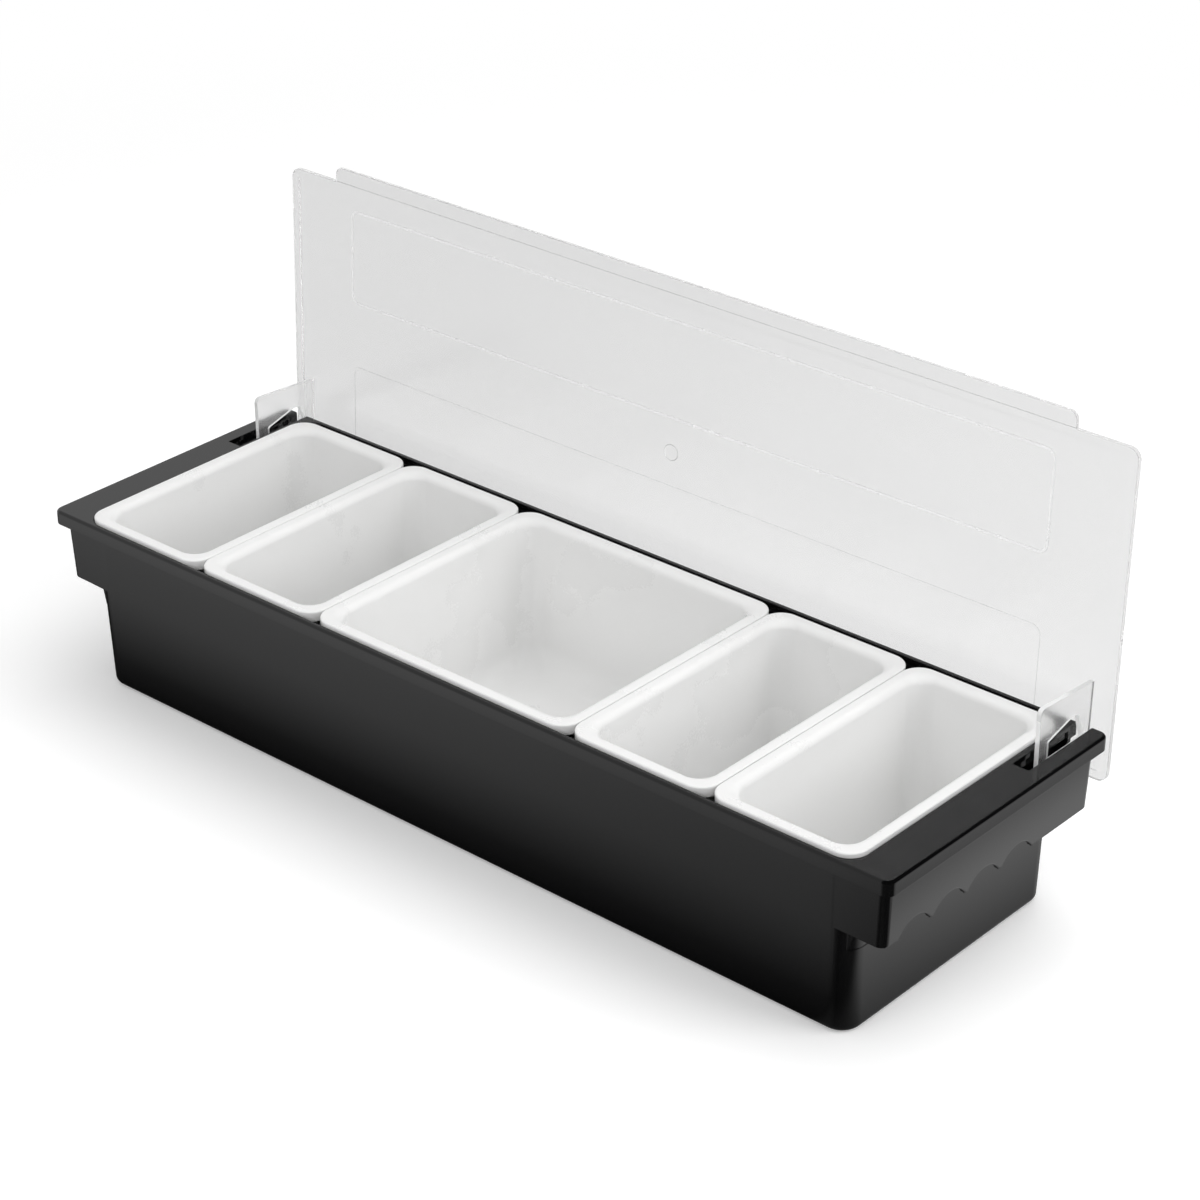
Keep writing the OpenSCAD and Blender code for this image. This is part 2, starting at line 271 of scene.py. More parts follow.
def sinDeg(angle):
    return math.sin(math.radians(angle))


def cosDeg(angle):
    return math.cos(math.radians(angle))


# shader node groups

def startGroup(name, inputs, outputs):
    group = bpy.data.node_groups.new(name, "ShaderNodeTree")
    for label, kind, value in inputs:
        socket = group.interface.new_socket(label, in_out="INPUT", socket_type=kind)
        if value is not None:
            socket.default_value = value
    for label, kind in outputs:
        group.interface.new_socket(label, in_out="OUTPUT", socket_type=kind)
    return group, group.nodes.new("NodeGroupInput"), group.nodes.new("NodeGroupOutput")


def link(tree, a, aSocket, b, bSocket):
    tree.links.new(a.outputs[aSocket], b.inputs[bSocket])


def makeMouldedSkin():
    # the faint cloudiness and flow of an injection-moulded surface
    group, given, out = startGroup(
        "mouldedSkin",
        [("Vector", "NodeSocketVector", None), ("Cloud Size", "NodeSocketFloat", 20.0),
         ("Grain Size", "NodeSocketFloat", 900.0), ("Low Roughness", "NodeSocketFloat", 0.1),
         ("High Roughness", "NodeSocketFloat", 0.2), ("Grain Share", "NodeSocketFloat", 0.15)],
        [("Cloud", "NodeSocketFloat"), ("Roughness", "NodeSocketFloat"), ("Height", "NodeSocketFloat")])
    cloud = group.nodes.new("ShaderNodeTexNoise")
    cloud.inputs["Detail"].default_value = 3
    cloud.inputs["Roughness"].default_value = 0.55
    grain = group.nodes.new("ShaderNodeTexNoise")
    grain.inputs["Detail"].default_value = 2
    spread = group.nodes.new("ShaderNodeMapRange")
    spread.interpolation_type = "SMOOTHSTEP"
    spread.inputs["From Min"].default_value = 0.2
    spread.inputs["From Max"].default_value = 0.8
    level = group.nodes.new("ShaderNodeMapRange")
    mixed = group.nodes.new("ShaderNodeMix")
    link(group, given, "Vector", cloud, "Vector")
    link(group, given, "Cloud Size", cloud, "Scale")
    link(group, given, "Vector", grain, "Vector")
    link(group, given, "Grain Size", grain, "Scale")
    link(group, cloud, "Fac", spread, "Value")
    link(group, spread, "Result", mixed, 2)
    link(group, grain, "Fac", mixed, 3)
    link(group, given, "Grain Share", mixed, 0)
    link(group, mixed, 0, level, "Value")
    link(group, given, "Low Roughness", level, "To Min")
    link(group, given, "High Roughness", level, "To Max")
    link(group, spread, "Result", out, "Cloud")
    link(group, level, "Result", out, "Roughness")
    link(group, mixed, 0, out, "Height")
    return group


mouldedSkin = makeMouldedSkin()


def placeSkin(tree, settings):
    # object coordinates into the shared skin group, then a bump
    where = tree.nodes.new("ShaderNodeTexCoord")
    skin = tree.nodes.new("ShaderNodeGroup")
    skin.node_tree = mouldedSkin
    for label, value in settings["skin"].items():
        skin.inputs[label].default_value = value
    bump = tree.nodes.new("ShaderNodeBump")
    bump.inputs["Strength"].default_value = settings["bump"]
    bump.inputs["Distance"].default_value = settings["bumpDepth"] * mm
    link(tree, where, "Object", skin, "Vector")
    link(tree, skin, "Height", bump, "Height")
    return skin, bump


def shadeTwoTones(tree, skin, shader, tones):
    tint = tree.nodes.new("ShaderNodeMix")
    tint.data_type = "RGBA"
    tint.inputs[6].default_value = (*tones[0], 1)
    tint.inputs[7].default_value = (*tones[1], 1)
    link(tree, skin, "Cloud", tint, 0)
    tree.links.new(tint.outputs[2], shader.inputs["Base Color"])


def makePlastic(name, s):
    # a moulded plastic, which may let light through, have a painted glow and cast a pale shadow
    material = bpy.data.materials.new(name)
    material.use_nodes = True
    tree = material.node_tree
    tree.nodes.clear()
    shader = tree.nodes.new("ShaderNodeBsdfPrincipled")
    output = tree.nodes.new("ShaderNodeOutputMaterial")
    link(tree, shader, "BSDF", output, "Surface")
    skin, bump = placeSkin(tree, s)
    shadeTwoTones(tree, skin, shader, s["tones"])
    link(tree, skin, "Roughness", shader, "Roughness")
    link(tree, bump, "Normal", shader, "Normal")
    shader.inputs["IOR"].default_value = s["ior"]
    shader.inputs["Transmission Weight"].default_value = s.get("through", 0)
    # a painted glow: emission that stands in for light where there is no lamp
    shader.inputs["Emission Color"].default_value = (1, 1, 1, 1)
    shader.inputs["Emission Strength"].default_value = s.get("paintedGlow", 0)
    if "shadow" in s:
        path = tree.nodes.new("ShaderNodeLightPath")
        toLamp = tree.nodes.new("ShaderNodeBsdfTransparent")
        toLamp.inputs["Color"].default_value = (*s["shadow"], 1)
        choose = tree.nodes.new("ShaderNodeMixShader")
        link(tree, path, "Is Shadow Ray", choose, 0)
        tree.links.new(shader.outputs[0], choose.inputs[1])
        tree.links.new(toLamp.outputs[0], choose.inputs[2])
        link(tree, choose, "Shader", output, "Surface")
    return material


# black tray plastic

blackPlastic = {
    "tones": [(0.0014, 0.0014, 0.0015), (0.0024, 0.0024, 0.0026)],
    "skin": {"Cloud Size": 9.0, "Grain Size": 700.0, "Low Roughness": 0.07, "High Roughness": 0.13,
             "Grain Share": 0.12},
    "bump": 0.05, "bumpDepth": 0.05, "ior": 1.5,
}
trayBlack = makePlastic("trayBlack", blackPlastic)

# white pan plastic

whitePlastic = {
    "tones": [(0.845, 0.845, 0.84), (0.87, 0.87, 0.865)],
    "skin": {"Cloud Size": 14.0, "Grain Size": 1100.0, "Low Roughness": 0.24, "High Roughness": 0.34,
             "Grain Share": 0.2},
    "bump": 0.03, "bumpDepth": 0.05, "ior": 1.49,
}
panWhite = makePlastic("panWhite", whitePlastic)

# clear lid plastic

clearPlastic = {
    "tones": [(0.955, 0.955, 0.955), (0.975, 0.975, 0.975)],
    "skin": {"Cloud Size": 7.0, "Grain Size": 260.0, "Low Roughness": 0.17, "High Roughness": 0.23,
             "Grain Share": 0.1},
    "bump": 0.04, "bumpDepth": 0.08, "ior": 1.49, "through": 0.94, "shadow": (0.9, 0.9, 0.9),
}
lidClear = makePlastic("lidClear", clearPlastic)

# the sheet's narrow edges, dull from the mould's parting, with a painted glow standing in for light that runs inside
# the sheet

edgePlastic = {
    "tones": [(0.93, 0.93, 0.93), (0.96, 0.96, 0.96)],
    "skin": {"Cloud Size": 30.0, "Grain Size": 400.0, "Low Roughness": 0.2, "High Roughness": 0.35,
             "Grain Share": 0.2},
    "bump": 0.05, "bumpDepth": 0.05, "ior": 1.49, "through": 0.5, "paintedGlow": 0.09,
}
lidEdge = makePlastic("lidEdge", edgePlastic)


def finishPiece(piece, name, material, body, nodes):
    piece.name = name
    piece.data.name = name
    piece.data.materials.clear()
    piece.data.materials.append(material)
    if "ring" in piece.data.attributes:
        piece.data.attributes.remove(piece.data.attributes["ring"])
    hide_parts(*nodes)
    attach(piece, body)
    print("made", name, len(piece.data.polygons), "faces")


# tray: one black moulding with both handles, drafted as the mould is

trayShape = {
    "bodyCorner": 10, "bodyFillet": 3.5, "rimCorner": 4.5, "rimRound": 1.5, "handleCorner": 4,
    "setBack": 0.15,                                    # the handles' front faces lie this far behind the body's
    "openingCorner": 9.8, "lipBreak": 0.4,
    "scallops": 4, "scallopPitch": 23.4, "scallopWidth": 21, "scallopRise": 6, "scallopStart": 21, "scallopDepth": 5,
    "slotX": (230.9, 238.9), "slotY": 29.34, "slotZ": 70.74,
    "barRadius": 2, "barSink": (2, 0.5),                # how far the bars' ends run into the body and the handle
    "edgeWidth": 0.3, "gripEdge": 0.7, "gripReach": (0.5, 0.1),     # the handles' lower edges are found this near
    "overlap": 0.5, "handleOverlap": 0.6,               # how far the moulding's parts run into each other
    "past": 10, "far": 120, "segments": 12, "wellSegments": 10, "scallopSegments": 128,
}


def bodyLean(z):
    return caddy["bodyDraft"] * (1 - z / caddy["rimZ"])


def skirtLean(z):
    return caddy["handleDraft"] * (caddy["rimZ"] - z) / (caddy["rimZ"] - caddy["handleZ"])


def bodyRings(grow, lowZ, highZ, s):
    corner = s["bodyCorner"] + grow
    rings = []
    for angle in fillet(0, 90):
        inset = s["bodyFillet"] * (1 - sinDeg(angle))
        rings.append((caddy["bodyX"] + grow - inset - bodyLean(lowZ), caddy["bodyY"] + grow - inset - bodyLean(lowZ),
                      corner - inset, lowZ + s["bodyFillet"] * (1 - cosDeg(angle))))
    lean = bodyLean(highZ)
    return rings + [(caddy["bodyX"] + grow - lean, caddy["bodyY"] + grow - lean, corner, highZ)]


def handleRings(grow, lowZ, highZ, s):
    return [(caddy["handleX"] + grow - skirtLean(z), caddy["bodyY"] + grow - bodyLean(z) - s["setBack"],
             s["handleCorner"] + grow, z) for z in (lowZ, highZ)]


def makeTray(s):
    tray = loftPiece("trayMoulding", bodyRings(0, 0, caddy["bandZ"] + s["overlap"], s), s["segments"])
    handles = loftPiece("handles", handleRings(0, caddy["handleZ"], caddy["bandZ"] + s["handleOverlap"], s))
    useTool(tray, handles, "UNION")
    rim = [(caddy["rimX"], caddy["rimY"], s["rimCorner"], caddy["bandZ"])]
    for angle in fillet(0, 90, 6):
        inset = s["rimRound"] * (1 - cosDeg(angle))
        rim.append((caddy["rimX"] - inset, caddy["rimY"] - inset, s["rimCorner"] - inset,
                    caddy["rimZ"] - s["rimRound"] * (1 - sinDeg(angle))))
    useTool(tray, loftPiece("rim", rim), "UNION")

    # the well, then the opening above the ledge with its broken lip
    wellRings = bodyRings(-caddy["wall"], caddy["wall"], caddy["ledgeZ"] + s["overlap"], s)
    useTool(tray, loftPiece("well", wellRings, s["wellSegments"]), "DIFFERENCE")
    opening = [(caddy["openingX"], caddy["openingY"], s["openingCorner"], caddy["ledgeZ"])]
    for angle in fillet(0, 90, 4):
        out = s["lipBreak"] * (1 - cosDeg(angle))
        opening.append((caddy["openingX"] + out, caddy["openingY"] + out, s["openingCorner"] + out,
                        caddy["rimZ"] - s["lipBreak"] * (1 - sinDeg(angle))))
    widest = opening[-1]
    opening.append((*widest[:3], caddy["rimZ"] + s["past"]))
    useTool(tray, loftPiece("opening", opening, s["wellSegments"]), "DIFFERENCE")

    # finger space inside the handles, around the body and the ledge's web
    space = loftPiece("fingerSpace", handleRings(-caddy["wall"], caddy["handleZ"] - s["past"],
                                                 caddy["rimZ"] - caddy["wall"], s))
    useTool(space, loftPiece("keepBody", bodyRings(0, 0, caddy["rimZ"], s), s["segments"]), "DIFFERENCE")
    far, webX = s["far"], caddy["openingX"] + caddy["wall"]
    useTool(space, addBlock("keepWeb", (-webX, -far, caddy["ledgeZ"] - caddy["wall"]), (webX, far, far)), "DIFFERENCE")
    useTool(tray, space, "DIFFERENCE")

    # finger scallops and ear slots at both ends
    radius = ((s["scallopWidth"] / 2) ** 2 + s["scallopRise"] ** 2) / (2 * s["scallopRise"])
    startY = -caddy["bodyY"] + bodyLean(caddy["handleZ"]) + s["scallopStart"]
    for side in (1, -1):
        for k in range(s["scallops"]):
            inner, outer = caddy["handleX"] - s["scallopDepth"], caddy["handleX"] + s["scallopDepth"]
            cutter = addBar("scallop", radius, side * inner, side * outer, startY + k * s["scallopPitch"],
                            caddy["handleZ"] + s["scallopRise"] - radius, s["scallopSegments"])
            useTool(tray, cutter, "DIFFERENCE")
        ends = sorted(side * x for x in s["slotX"])
        useTool(tray, addBlock("slot", (ends[0], s["slotY"], s["slotZ"]), (ends[1], far, far)), "DIFFERENCE")
    cleanMesh(tray)

    # edges, then the two cross bars
    outerX = caddy["handleX"] - caddy["handleDraft"] - s["gripReach"][0]
    gripTop = caddy["handleZ"] + s["scallopRise"] + s["gripReach"][1]
    roundEdges(tray, s["gripEdge"], lambda v: caddy["handleZ"] - s["past"] < v.z < gripTop and abs(v.x) > outerX)
    breakEdges(tray, s["edgeWidth"])
    for side in (1, -1):
        inner = caddy["bodyX"] - bodyLean(caddy["axisZ"]) - s["barSink"][0]
        outer = caddy["handleX"] - skirtLean(caddy["axisZ"]) - s["barSink"][1]
        bar = addBar("bar", s["barRadius"], side * inner, side * outer, caddy["axisY"], caddy["axisZ"])
        useTool(tray, bar, "UNION")
    smoothPiece(tray)
    return tray


tray = makeTray(trayShape)
finishPiece(tray, "tray_moulding", trayBlack, "tray", ["tray"])

# pans: single drafted skins with a turned-down flange

panShape = {
    "smallLength": 75.3, "largeLength": 151.1, "width": 141.9, "shiftY": -1.95,
    "flangeZ": 88.9, "underZ": 14, "wall": 2.1, "land": 3.4, "mouth": 3.6, "taper": 3.8,
    "flangeCorner": 9.5, "innerCorner": 9.9, "floorCorner": 6, "fillet": 12, "edge": 0.8,
    "legZ": 83.6, "legInner": 0.3, "legFoot": 0.4, "legOuter": 0.1,     # the flange's leg and its rounded foot
    "step": 0.03,                                       # loops at one level lie this far apart to be bridged
    "segments": 12, "smoothAngle": 40,
    "smallPlaces": {"far_left": -189.5, "left": -113.7, "right": 113.7, "far_right": 189.5},
}


def panRings(length, s):
    halfX, halfY = length / 2, s["width"] / 2
    wallIn = s["land"] + s["mouth"]
    wallOut = wallIn - s["wall"]
    outerFillet = s["fillet"] + s["wall"]
    outerCorner = s["innerCorner"] + s["wall"]
    rings = []

    def ring(inset, corner, z):
        rings.append((halfX - inset, halfY - inset, corner, z))

    for angle in fillet(0, 90, 9):                      # underside up to the outer wall
        turn = 1 - sinDeg(angle)
        ring(wallOut + s["taper"] + outerFillet * turn, outerCorner - (outerCorner - s["floorCorner"]) * turn,
             s["underZ"] + outerFillet * (1 - cosDeg(angle)))
    ring(wallOut, outerCorner, s["flangeZ"] - s["wall"])   # up to the flange and down inside its leg
    ring(s["wall"], s["flangeCorner"] - s["wall"], s["flangeZ"] - s["wall"] - s["step"])
    ring(s["wall"], s["flangeCorner"] - s["wall"], s["legZ"] + s["legInner"])
    ring(s["wall"] - s["legInner"], s["flangeCorner"] - s["wall"] + s["legInner"], s["legZ"] + s["step"])
    ring(s["legFoot"], s["flangeCorner"] - s["legFoot"], s["legZ"])
    ring(s["legOuter"], s["flangeCorner"] - s["legOuter"], s["legZ"] + s["legInner"])
    for angle in fillet(0, 90, 6):                      # rounded outer edge of the flange
        inset = s["edge"] * (1 - cosDeg(angle))
        ring(inset, s["flangeCorner"] - inset / 2, s["flangeZ"] - s["step"] - s["edge"] * (1 - sinDeg(angle)))
    for angle in fillet(0, 90, 8):                      # over the land and into the mouth
        ring(s["land"] + s["mouth"] * sinDeg(angle), s["innerCorner"] - (1 - sinDeg(angle)),
             s["flangeZ"] - s["mouth"] * (1 - cosDeg(angle)))
    for angle in fillet(90, 0, 10):                     # down the wall and round to the floor
        turn = 1 - sinDeg(angle)
        ring(wallIn + s["taper"] + s["fillet"] * turn,
             s["innerCorner"] - (s["innerCorner"] - s["floorCorner"]) * turn,
             s["underZ"] + s["wall"] + s["fillet"] * (1 - cosDeg(angle)))
    return rings


def makePans(mould, length, places, s):
    # one skin copied to each place, which is a piece's name, its node's name and its middle
    skin = loftPiece(mould, panRings(length, s), s["segments"])
    smoothPiece(skin, s["smoothAngle"])
    for name, node, x in places:
        pan = copyPiece(skin, name, (x, s["shiftY"], 0))
        finishPiece(pan, name, panWhite, node, [node])
    bpy.data.objects.remove(skin)


smallPans = [("pan_" + place, "small_pan_" + place, x) for place, x in panShape["smallPlaces"].items()]
makePans("smallPan", panShape["smallLength"], smallPans, panShape)
makePans("largePan", panShape["largeLength"], [("pan_large", "large_pan", 0)], panShape)

# lid: clear panel with a bead, grip tab, embossed frames and two ears

lidShape = {
    "halfX": 244.5, "width": 153.9, "sheet": 2.0, "corner": 5, "tail": 16.4, "offset": 13.966, "lean": 2.3,
    "edgeRound": 0.5, "beadWidth": 5.2, "beadHeight": 0.6, "beadSlope": 2.6,
    "beadSteps": (0.04, 0.27, 0.5, 0.73, 1), "step": 0.02,
    "tabSetback": 30.5, "tabReach": 7.5, "tabRoot": 6, "tabCorner": 4,
    "frameSetback": 39.5, "frameMargin": 12, "frameWidth": 48.5, "frameLine": 1.4, "frameHeight": 0.14,
    "ridgeSink": 0.4, "gateRadius": 4, "gateDepth": 1.6, "gateMiddle": 1.8, "gateRound": 0.5,
    "segments": 8, "smoothAngle": 30,
    "edgeFacing": 0.45,                                 # a face turned further off the sheet than this is an edge
    "panelSlack": 0.05, "ridgeSlack": 0.03, "frameSlack": 1,
}


def plateRings(halfX, halfY, corner, s, bead=False):
    # from the inner face round the edge to the back face, Z pointing backwards as negative
    r = s["edgeRound"]
    thickness = s["sheet"] + (s["beadHeight"] if bead else 0)
    rings = []
    for angle in fillet(0, 90, 4):
        inset = r * (1 - sinDeg(angle))
        rings.append((halfX - inset, halfY - inset, corner - inset, -r * (1 - cosDeg(angle))))
    for angle in fillet(90, 0, 4):
        inset = r * (1 - sinDeg(angle))
        rings.append((halfX - inset, halfY - inset, corner - inset, -thickness + r * (1 - cosDeg(angle))))
    if bead:
        for t in s["beadSteps"]:                        # eased down from the bead to the sheet
            inset = s["beadWidth"] - s["beadSlope"] * (1 - t)
            rings.append((halfX - inset, halfY - inset, corner - inset / 2,
                          -thickness + s["beadHeight"] * t * t * (3 - 2 * t) + s["step"]))
    return rings


def makePanel(s):
    halfY = s["width"] / 2
    panel = loftPiece("panel", plateRings(s["halfX"], halfY, s["corner"], s, True), s["segments"], (0, halfY))
    tabLow, tabHigh = s["width"] - s["tabRoot"], s["width"] + s["tabReach"]
    tabRings = plateRings(s["halfX"] - s["tabSetback"], (tabHigh - tabLow) / 2, s["tabCorner"], s)
    useTool(panel, loftPiece("tab", tabRings, s["segments"], (0, (tabLow + tabHigh) / 2)), "UNION")
    for low in (s["frameMargin"], s["width"] - s["frameMargin"] - s["frameWidth"]):
        halfX, halfY = s["halfX"] - s["frameSetback"], s["frameWidth"] / 2
        back, line, height = -s["sheet"], s["frameLine"], s["frameHeight"]
        ridge = [(halfX, halfY, s["corner"], back + s["ridgeSink"])]
        for angle in fillet(0, 180, 8):
            inset = line / 2 * (1 - cosDeg(angle))
            ridge.append((halfX - inset, halfY - inset, s["corner"] - inset, back - height * sinDeg(angle)))
        ridge.append((halfX - line, halfY - line, s["corner"] - line, back + s["ridgeSink"]))
        useTool(panel, loftPiece("ridge", ridge, s["segments"], (0, low + halfY), closed=True), "UNION")
    deselectAll()
    bpy.ops.mesh.primitive_cylinder_add(vertices=48, radius=s["gateRadius"] * mm, depth=s["gateDepth"] * mm,
                                        location=(0, s["width"] / 2 * mm, -s["gateMiddle"] * mm))
    gate = bpy.context.object
    bpy.ops.object.transform_apply(location=True, rotation=True, scale=True)
    breakEdges(gate, s["gateRound"], segments=4)
    useTool(panel, gate, "UNION")
    movePiece(panel, (0, -s["tail"], -s["offset"]))
    movePiece(panel, lean=90 - s["lean"])
    movePiece(panel, (0, caddy["axisY"], caddy["axisZ"]))
    return panel


earShape = {
    "x": 231.9, "sheet": 2.2, "boss": 1.8, "front": 23.6, "top": 31.2, "round": 3,
    "footZ": 1, "fall": 2.7, "boreRadius": 2.06, "hookRadius": 4.96, "mouth": 3.4, "edge": 0.15,
    "window": [(-16.6, 3.6), (-16.6, 13), (1, 17.7), (4.6, 17), (9.1, 3.6)], "windowRound": 0.8,
    "past": 10, "roundSegments": 96,
}


def panelY(z):
    s = lidShape
    return (s["offset"] + s["sheet"] / 2 + z * sinDeg(s["lean"])) / cosDeg(s["lean"])


def makeEar(s):
    # drawn from the hinge axis, then moved to it
    low = -s["hookRadius"]
    outline = [(-s["front"], s["footZ"]), (-s["front"], s["top"]), (panelY(s["top"]), s["top"] - s["fall"]),
               (panelY(low), low), (0, low), (0, s["footZ"])]
    ear = tracePlate("ear", outline, s["sheet"], [((-s["front"], s["top"]), s["round"], 6)])
    past, half, segments = s["past"], s["mouth"] / 2, s["roundSegments"]
    useTool(ear, addBar("boss", s["hookRadius"], 0, s["sheet"] + s["boss"], 0, 0, segments), "UNION")
    corners = [(corner, s["windowRound"], 3) for corner in s["window"]]
    hole = tracePlate("window", s["window"], s["sheet"] + 2 * past, corners)
    movePiece(hole, (-past, 0, 0))
    useTool(ear, hole, "DIFFERENCE")
    useTool(ear, addBar("bore", s["boreRadius"], -past, 2 * past, 0, 0, segments), "DIFFERENCE")
    useTool(ear, addBlock("mouth", (-past, -half, low - past), (2 * past, half, 0)), "DIFFERENCE")
    cleanMesh(ear)
    breakEdges(ear, s["edge"])
    movePiece(ear, (s["x"], caddy["axisY"], caddy["axisZ"]))
    return ear


def makeLid():
    lid = makePanel(lidShape)
    rightEar = makeEar(earShape)
    leftEar = copyPiece(rightEar, "leftEar", mirrored=True)
    useTool(lid, rightEar, "UNION")
    useTool(lid, leftEar, "UNION")
    cleanMesh(lid, 0.001)
    smoothPiece(lid, lidShape["smoothAngle"])
    return lid


def dullGlowingEdges(lid, material, s):
    # the narrow walls of the panel and the ears and the front frame's ridge take the edge finish, whose painted glow
    # lightens them into pale lines
    lid.data.materials.append(material)
    across = Vector((0, cosDeg(s["lean"]), -sinDeg(s["lean"])))
    along = Vector((0, sinDeg(s["lean"]), cosDeg(s["lean"])))
    axis = Vector((0, caddy["axisY"], caddy["axisZ"])) * mm
    slack = s["frameSlack"]
    frameLow = s["width"] - s["frameMargin"] - s["frameWidth"]
    for face in lid.data.polygons:
        place = (face.center - axis) / mm
        depth, height = place.dot(across) - s["offset"], place.dot(along) + s["tail"]
        facing = abs(face.normal.dot(across)) if depth > -s["panelSlack"] else abs(face.normal.x)
        framed = (abs(place.x) < s["halfX"] - s["frameSetback"] + slack
                  and -slack < height - frameLow < s["frameWidth"] + slack)
        if facing < s["edgeFacing"] or (framed and depth > s["sheet"] + s["ridgeSlack"]):
            face.material_index = 1


lid = makeLid()
finishPiece(lid, "lid_moulding", lidClear, "lid", ["lid"])
dullGlowingEdges(lid, lidEdge, lidShape)

# floor, world and lamps

studio = {
    "floorRadius": 6, "floorDrop": 0.0002,
    "floorColour": (0.82, 0.82, 0.82), "floorSeen": (1, 1, 1), "floorGlow": 0.17, "fade": (0.45, 1.1),
    "lidView": (0.74, 0.87), "lidViewFrom": (-0.5, 0.2),    # painted tone that the lid shows behind it, left and right, and brighter close behind the tray
    "lidNear": (0.14, 0.34, 1.12, 1.0),                     # and brighter close behind the tray
    "skyViewFrom": (-0.75, -0.35), "horizon": (0.0, 0.15),  # the same in the sky, up to the horizon's blend
    # painted brightness of the floor in the gloss, dark close to the tray, by millimetres in front of the tray and
    # beyond its right end
    "frontLevels": [(0, 0.03), (14, 0.09), (28, 0.24), (42, 0.4), (56, 0.54), (78, 0.62), (95, 0.72), (106, 0.85)],
    "endLevels": [(0, 0.3), (21, 0.64), (46, 1.0), (64, 0.98), (86, 0.5), (120, 0.75)],
    "levelSpan": 120, "endFrom": -6, "endSoft": 20,
    "frontFade": (-0.12, 0.2, 1.0, 0.72), "endFade": (-0.08, 0.08, 0.76, 1.05),      # along the tray's sides
    "paintedDarkAt": (0.2165, -0.062), "paintedDarkStart": (-134, -76),   # painted dark patch in the gloss, in front of the right corner: where it starts, in degrees, and its straight far edge
    "paintedDarkTurn": 15, "paintedDarkEnd": (-0.03, 0.012),              # in degrees, and its straight far edge
    "paintedDarkStrength": 0.9, "ambient": 0.65,
    # mirrored sky, brighter to the left
    "skyLevels": [(0, 0.02), (0.38, 0.03), (0.47, 0.66), (0.7, 0.97), (1, 1)],
}


def addMath(tree, operation, first, second=None):
    # first and second are numbers or (node, socket)
    node = tree.nodes.new("ShaderNodeMath")
    node.operation = operation
    for index, value in enumerate((first, second)):
        if value is None:
            continue
        if isinstance(value, tuple):
            tree.links.new(value[0].outputs[value[1]], node.inputs[index])
        else:
            node.inputs[index].default_value = value
    return node, 0


def addRamp(tree, value, fromLow, fromHigh, toLow=0.0, toHigh=1.0):
    # smooth step from one level to another
    node = tree.nodes.new("ShaderNodeMapRange")
    node.interpolation_type = "SMOOTHSTEP"
    for label, number in zip(("From Min", "From Max", "To Min", "To Max"), (fromLow, fromHigh, toLow, toHigh)):
        node.inputs[label].default_value = number
    tree.links.new(value[0].outputs[value[1]], node.inputs["Value"])
    return node, "Result"


def addLevels(tree, value, span, levels):
    # brightness read off a list of (place, level), the places up to the span
    node = tree.nodes.new("ShaderNodeValToRGB")
    stops = node.color_ramp.elements
    while len(stops) < len(levels):
        stops.new(0.5)
    for stop, (place, level) in zip(stops, levels):
        stop.position = place / span
        stop.color = (level, level, level, 1)
    tree.links.new(value[0].outputs[value[1]], node.inputs["Fac"])
    return node, "Color"


def addGlow(tree, strength):
    node = tree.nodes.new("ShaderNodeEmission")
    if isinstance(strength, tuple):
        tree.links.new(strength[0].outputs[strength[1]], node.inputs["Strength"])
    else:
        node.inputs["Strength"].default_value = strength
    return node


def mixShaders(tree, factor, first, second):
    node = tree.nodes.new("ShaderNodeMixShader")
    tree.links.new(factor[0].outputs[factor[1]], node.inputs[0])
    tree.links.new(first.outputs[0], node.inputs[1])
    tree.links.new(second.outputs[0], node.inputs[2])
    return node


